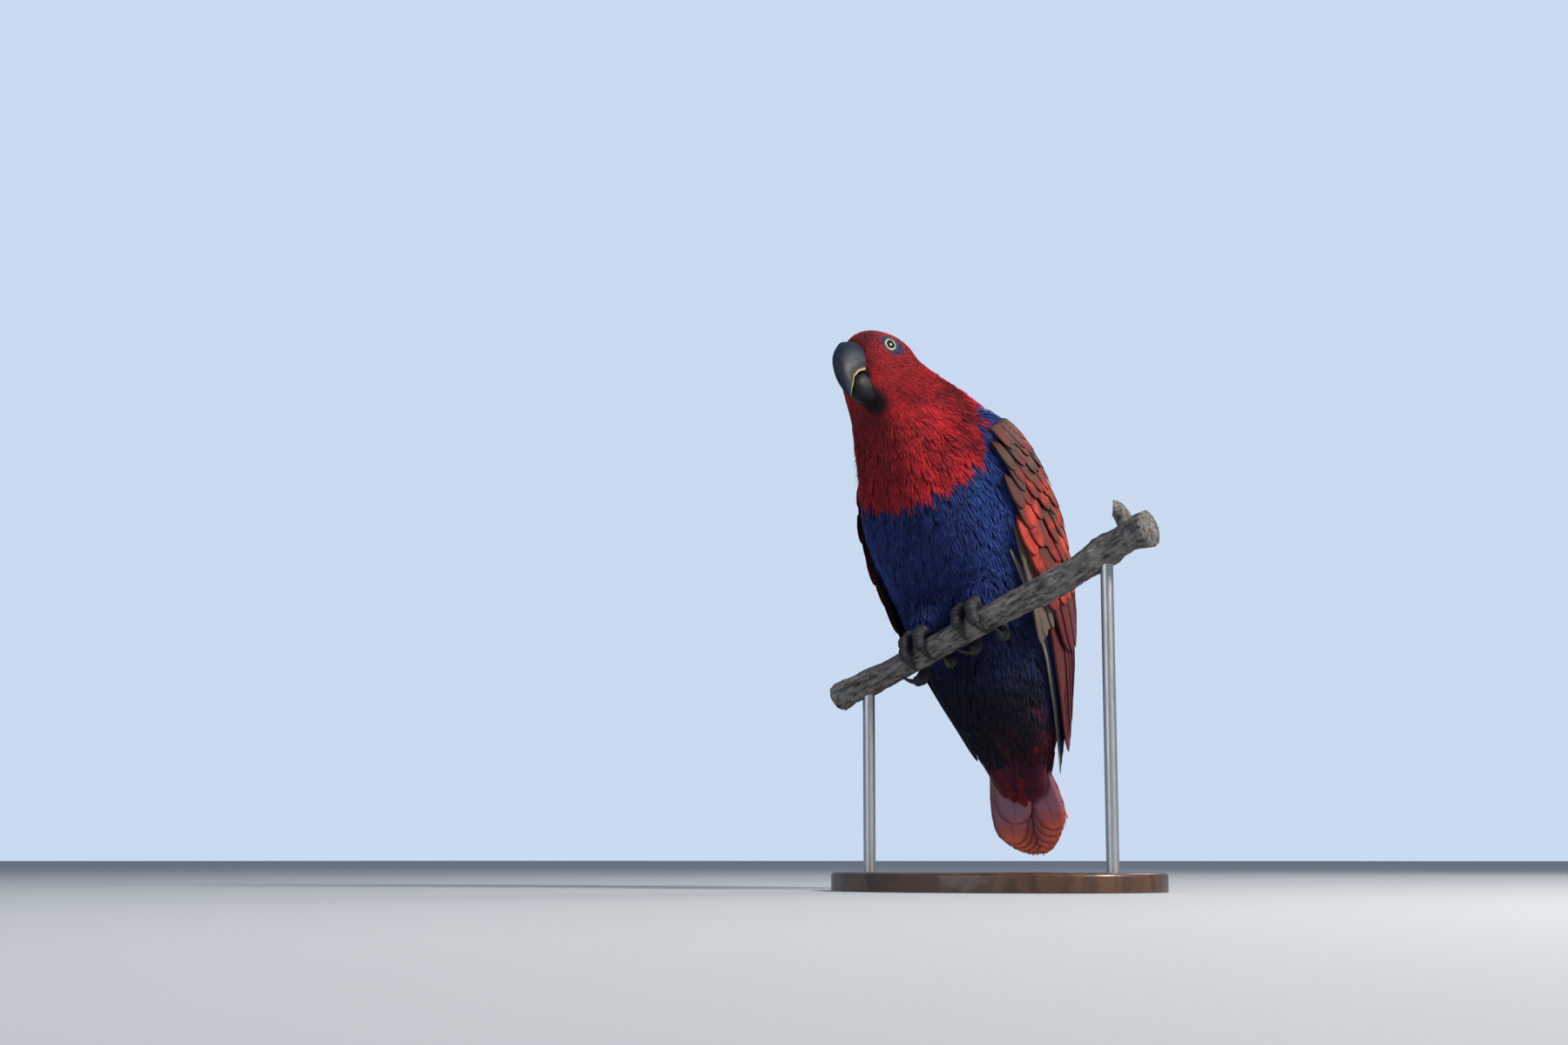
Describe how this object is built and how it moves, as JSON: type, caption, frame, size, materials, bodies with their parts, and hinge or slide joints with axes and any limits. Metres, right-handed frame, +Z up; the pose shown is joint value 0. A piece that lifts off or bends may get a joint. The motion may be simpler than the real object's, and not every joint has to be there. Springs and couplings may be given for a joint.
{
  "type": "parrot model",
  "caption": "Life-size still model of a red and blue parrot that perches with folded wings on a short cut branch, held by two rods on an oval base.",
  "frame": {"origin": "centre of the underside of the stand's base", "axes": "+Z up, -Y the way the bird's body faces, +X towards the bird's left side and the raised end of the branch"},
  "size_m": [0.2472, 0.1942, 0.364],
  "materials": {
    "red_feathers": "soft red plumage of the head and neck",
    "blue_feathers": "dark blue plumage of the belly, back and thighs",
    "wing_feathers": "maroon-red flight feathers and coverts",
    "tail_feathers": "dark red tail feathers with a brighter tip",
    "bill_horn": "black horn with a low sheen",
    "eye_dark": "dark, clear-glossed model eye",
    "foot_scales": "grey scaly skin",
    "claw_horn": "black horn",
    "bark": "rough grey bark with pale cut ends",
    "stand_wood": "dark satin wood",
    "stand_metal": "brushed"
  },
  "bodies": {
    "root": {"eye_left": "eye_dark", "eye_right": "eye_dark", "head": "red_feathers", "bill_upper": "bill_horn", "bill_lower": "bill_horn", "neck": "red_feathers", "torso": "blue_feathers", "rump": "blue_feathers", "tail": "tail_feathers", "wing_left": "wing_feathers", "thigh_left": "blue_feathers", "foot_left": "foot_scales", "toe_1_rear_inner_left": "foot_scales", "claw_1_rear_inner_left": "claw_horn", "toe_2_front_inner_left": "foot_scales", "claw_2_front_inner_left": "claw_horn", "toe_3_front_outer_left": "foot_scales", "claw_3_front_outer_left": "claw_horn", "toe_4_rear_outer_left": "foot_scales", "claw_4_rear_outer_left": "claw_horn", "wing_right": "wing_feathers", "thigh_right": "blue_feathers", "foot_right": "foot_scales", "toe_1_rear_inner_right": "foot_scales", "claw_1_rear_inner_right": "claw_horn", "toe_2_front_inner_right": "foot_scales", "claw_2_front_inner_right": "claw_horn", "toe_3_front_outer_right": "foot_scales", "claw_3_front_outer_right": "claw_horn", "toe_4_rear_outer_right": "foot_scales", "claw_4_rear_outer_right": "claw_horn", "stand_base": "stand_wood", "stand_rod_low": "stand_metal", "stand_rod_high": "stand_metal", "perch": "bark"}
  },
  "joints": []
}
